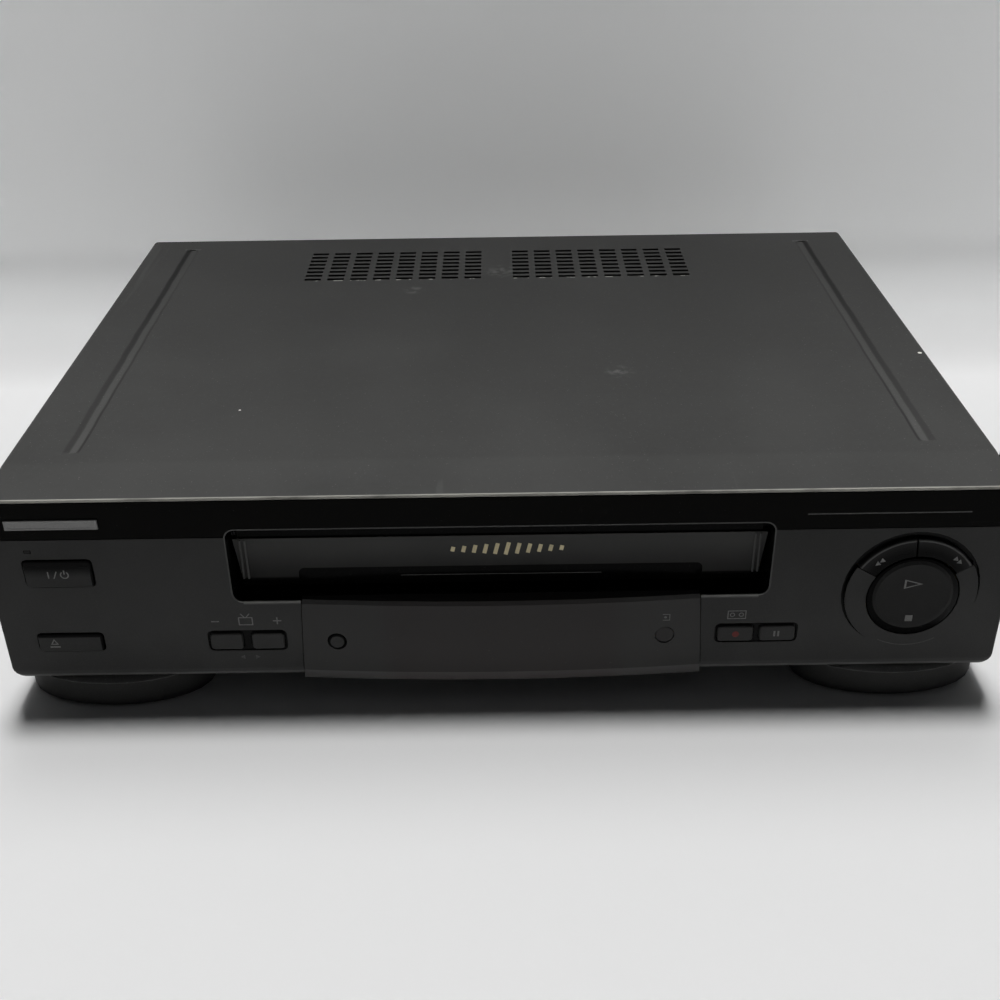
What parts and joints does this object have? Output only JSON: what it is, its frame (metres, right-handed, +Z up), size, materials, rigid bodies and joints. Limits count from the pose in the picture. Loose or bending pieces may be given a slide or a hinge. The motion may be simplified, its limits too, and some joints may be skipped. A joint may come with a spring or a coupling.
{
  "type": "video cassette recorder",
  "caption": "Front-loading tape recorder: folded steel cover, moulded front with a cassette flap, buttons and a rocking disc, over a tape deck with loader, drum and reel drive.",
  "frame": {"origin": "middle of the recorder's box at the level of the feet's soles", "axes": "+X to the right seen from the front, -Y towards the user, +Z up"},
  "size_m": [0.43, 0.3174, 0.1083],
  "materials": {
    "cover_paint": "satin dark grey enamel, lightly worn",
    "screw_black": "blackened steel",
    "zinc_steel": "zinc plated sheet",
    "bright_steel": "ground steel",
    "drum_aluminium": "polished",
    "bezel_plastic": "fine matt grain",
    "button_plastic": "satin",
    "gloss_black": "gloss black",
    "smoked_window": "smoked, glossy",
    "dark_lens": "dark red lens",
    "foot_plastic": "matt black",
    "socket_plastic": "black",
    "white_plastic": "off-white",
    "circuit_board": "paper laminate",
    "tube_glass": "dark glass",
    "core_iron": "varnished laminations",
    "rubber": "matt rubber"
  },
  "bodies": {
    "root": {"antenna_terminals": "bright_steel", "audio_control_head": "bright_steel", "audio_video_jacks": "socket_plastic", "chassis_tray": "zinc_steel", "cover_screw_left_back": "screw_black", "cover_screw_left_front": "screw_black", "cover_screw_rear": "screw_black", "cover_screw_right_back": "screw_black", "cover_screw_right_front": "screw_black", "deck_plate": "zinc_steel", "display_tube": "tube_glass", "display_window": "smoked_window", "drive_belt": "rubber", "erase_head": "bright_steel", "front_bezel": "bezel_plastic", "front_board": "circuit_board", "front_foot_left": "foot_plastic", "front_foot_right": "foot_plastic", "loader_frame": "zinc_steel", "loading_motor": "bright_steel", "lower_drum": "drum_aluminium", "main_board": "circuit_board", "mains_inlet": "socket_plastic", "power_lens": "dark_lens", "power_transformer": "core_iron", "rear_foot_left": "foot_plastic", "rear_foot_right": "foot_plastic", "rear_panel": "cover_paint", "sensor_lens": "dark_lens", "top_cover": "cover_paint", "trim_band": "gloss_black", "tuner_can": "bright_steel"},
    "door": {"cassette_door": "bezel_plastic", "door_spring": "bright_steel"},
    "power_button": {"power_button": "button_plastic"},
    "eject_button": {"eject_button": "button_plastic"},
    "channel_down_button": {"channel_down_button": "button_plastic"},
    "channel_up_button": {"channel_up_button": "button_plastic"},
    "setup_button": {"setup_button": "button_plastic"},
    "record_button": {"record_button": "button_plastic"},
    "pause_button": {"pause_button": "button_plastic"},
    "rewind_button": {"rewind_button": "gloss_black"},
    "fast_forward_button": {"fast_forward_button": "gloss_black"},
    "play_stop_disc": {"play_stop_disc": "button_plastic"},
    "channel_switch": {"channel_switch": "socket_plastic"},
    "loader_carriage": {"loader_carriage": "zinc_steel"},
    "cassette_holder": {"cassette_holder": "zinc_steel"},
    "upper_drum": {"upper_drum": "drum_aluminium"},
    "capstan": {"capstan": "bright_steel"},
    "reel_pulley": {"reel_pulley": "white_plastic"},
    "supply_reel_table": {"supply_reel_table": "white_plastic"},
    "takeup_reel_table": {"takeup_reel_table": "white_plastic"},
    "idler_arm": {"idler_arm": "zinc_steel"},
    "idler_gear": {"idler_gear": "white_plastic"},
    "left_guide_post": {"left_guide_post": "bright_steel"},
    "right_guide_post": {"right_guide_post": "bright_steel"},
    "cam_gear": {"cam_gear": "white_plastic"},
    "pinch_arm": {"pinch_arm": "bright_steel"},
    "pinch_roller": {"pinch_roller": "rubber"},
    "tension_arm": {"tension_arm": "bright_steel"}
  },
  "joints": [
    {"name": "door_swing", "type": "hinge", "parent": "root", "child": "door", "pos_m": [0, -0.14495, 0.0825], "axis": [1, 0, 0], "range_deg": [0, 90], "stiffness_Nm_per_rad": 0.01},
    {"name": "power_press", "type": "slide", "parent": "root", "child": "power_button", "axis": [0, 1, 0], "range_m": [0, 0.0012], "stiffness_N_per_m": 600},
    {"name": "eject_press", "type": "slide", "parent": "root", "child": "eject_button", "axis": [0, 1, 0], "range_m": [0, 0.0012], "stiffness_N_per_m": 600},
    {"name": "channel_down_press", "type": "slide", "parent": "root", "child": "channel_down_button", "axis": [0, 1, 0], "range_m": [0, 0.0012], "stiffness_N_per_m": 600},
    {"name": "channel_up_press", "type": "slide", "parent": "root", "child": "channel_up_button", "axis": [0, 1, 0], "range_m": [0, 0.0012], "stiffness_N_per_m": 600},
    {"name": "setup_press", "type": "slide", "parent": "root", "child": "setup_button", "axis": [0, 1, 0], "range_m": [0, 0.0012], "stiffness_N_per_m": 600},
    {"name": "record_press", "type": "slide", "parent": "root", "child": "record_button", "axis": [0, 1, 0], "range_m": [0, 0.0012], "stiffness_N_per_m": 600},
    {"name": "pause_press", "type": "slide", "parent": "root", "child": "pause_button", "axis": [0, 1, 0], "range_m": [0, 0.0012], "stiffness_N_per_m": 600},
    {"name": "rewind_press", "type": "slide", "parent": "root", "child": "rewind_button", "axis": [0, 1, 0], "range_m": [0, 0.0012], "stiffness_N_per_m": 600},
    {"name": "fast_forward_press", "type": "slide", "parent": "root", "child": "fast_forward_button", "axis": [0, 1, 0], "range_m": [0, 0.0012], "stiffness_N_per_m": 600},
    {"name": "play_stop_rock", "type": "hinge", "parent": "root", "child": "play_stop_disc", "pos_m": [0.175, -0.14985, 0.0515], "axis": [1, 0, 0], "range_deg": [-3, 3], "stiffness_Nm_per_rad": 1.5},
    {"name": "channel_switch_slide", "type": "slide", "parent": "root", "child": "channel_switch", "axis": [1, 0, 0], "range_m": [0, 0.003]},
    {"name": "loader_travel", "type": "slide", "parent": "root", "child": "loader_carriage", "axis": [0, 1, 0], "range_m": [0, 0.022]},
    {"name": "holder_drop", "type": "slide", "parent": "loader_carriage", "child": "cassette_holder", "axis": [0, 0, -1], "range_m": [0, 0.022]},
    {"name": "drum_spin", "type": "hinge", "parent": "root", "child": "upper_drum", "pos_m": [0, 0.04175, 0.0521], "axis": [0, 0, 1], "continuous": true},
    {"name": "capstan_spin", "type": "hinge", "parent": "root", "child": "capstan", "pos_m": [0.05, 0.02075, 0.0284], "axis": [0, 0, 1], "continuous": true},
    {"name": "reel_pulley_spin", "type": "hinge", "parent": "root", "child": "reel_pulley", "pos_m": [0, -0.05425, 0.0284], "axis": [0, 0, 1], "continuous": true},
    {"name": "supply_reel_spin", "type": "hinge", "parent": "root", "child": "supply_reel_table", "pos_m": [-0.0488, -0.05425, 0.0284], "axis": [0, 0, 1], "continuous": true},
    {"name": "takeup_reel_spin", "type": "hinge", "parent": "root", "child": "takeup_reel_table", "pos_m": [0.0488, -0.05425, 0.0284], "axis": [0, 0, 1], "continuous": true},
    {"name": "idler_swing", "type": "hinge", "parent": "root", "child": "idler_arm", "pos_m": [0, -0.05425, 0.0287], "axis": [0, 0, 1], "range_deg": [-56, 56]},
    {"name": "idler_gear_spin", "type": "hinge", "parent": "idler_arm", "child": "idler_gear", "pos_m": [0, -0.07225, 0.0302], "axis": [0, 0, 1], "continuous": true},
    {"name": "cam_turn", "type": "hinge", "parent": "root", "child": "cam_gear", "pos_m": [-0.058, 0.07675, 0.0287], "axis": [0, 0, 1], "range_deg": [0, 270]},
    {"name": "left_guide_travel", "type": "slide", "parent": "root", "child": "left_guide_post", "axis": [-0.3714, 0.9285, 0], "range_m": [0, 0.05926]},
    {"name": "right_guide_travel", "type": "slide", "parent": "root", "child": "right_guide_post", "axis": [0.3714, 0.9285, 0], "range_m": [0, 0.05926]},
    {"name": "pinch_swing", "type": "hinge", "parent": "root", "child": "pinch_arm", "pos_m": [0.08, 0.01675, 0.0316], "axis": [0, 0, 1], "range_deg": [0, 26.05]},
    {"name": "pinch_roller_spin", "type": "hinge", "parent": "pinch_arm", "child": "pinch_roller", "pos_m": [0.06252, 0.03246, 0.0345], "axis": [0, 0, 1], "continuous": true},
    {"name": "tension_swing", "type": "hinge", "parent": "root", "child": "tension_arm", "pos_m": [-0.082, 0.01375, 0.0316], "axis": [0, 0, 1], "range_deg": [0, 20.05]}
  ],
  "couplings": [
    {"joint": "reel_pulley_spin", "follows": "capstan_spin", "ratio": 0.6},
    {"joint": "idler_gear_spin", "follows": "capstan_spin", "ratio": -0.08961},
    {"joint": "left_guide_travel", "follows": "cam_turn", "m_per_rad": 0.01257},
    {"joint": "right_guide_travel", "follows": "cam_turn", "m_per_rad": 0.01257},
    {"joint": "pinch_swing", "follows": "cam_turn", "ratio": 0.096296},
    {"joint": "tension_swing", "follows": "cam_turn", "ratio": 0.074074}
  ]
}
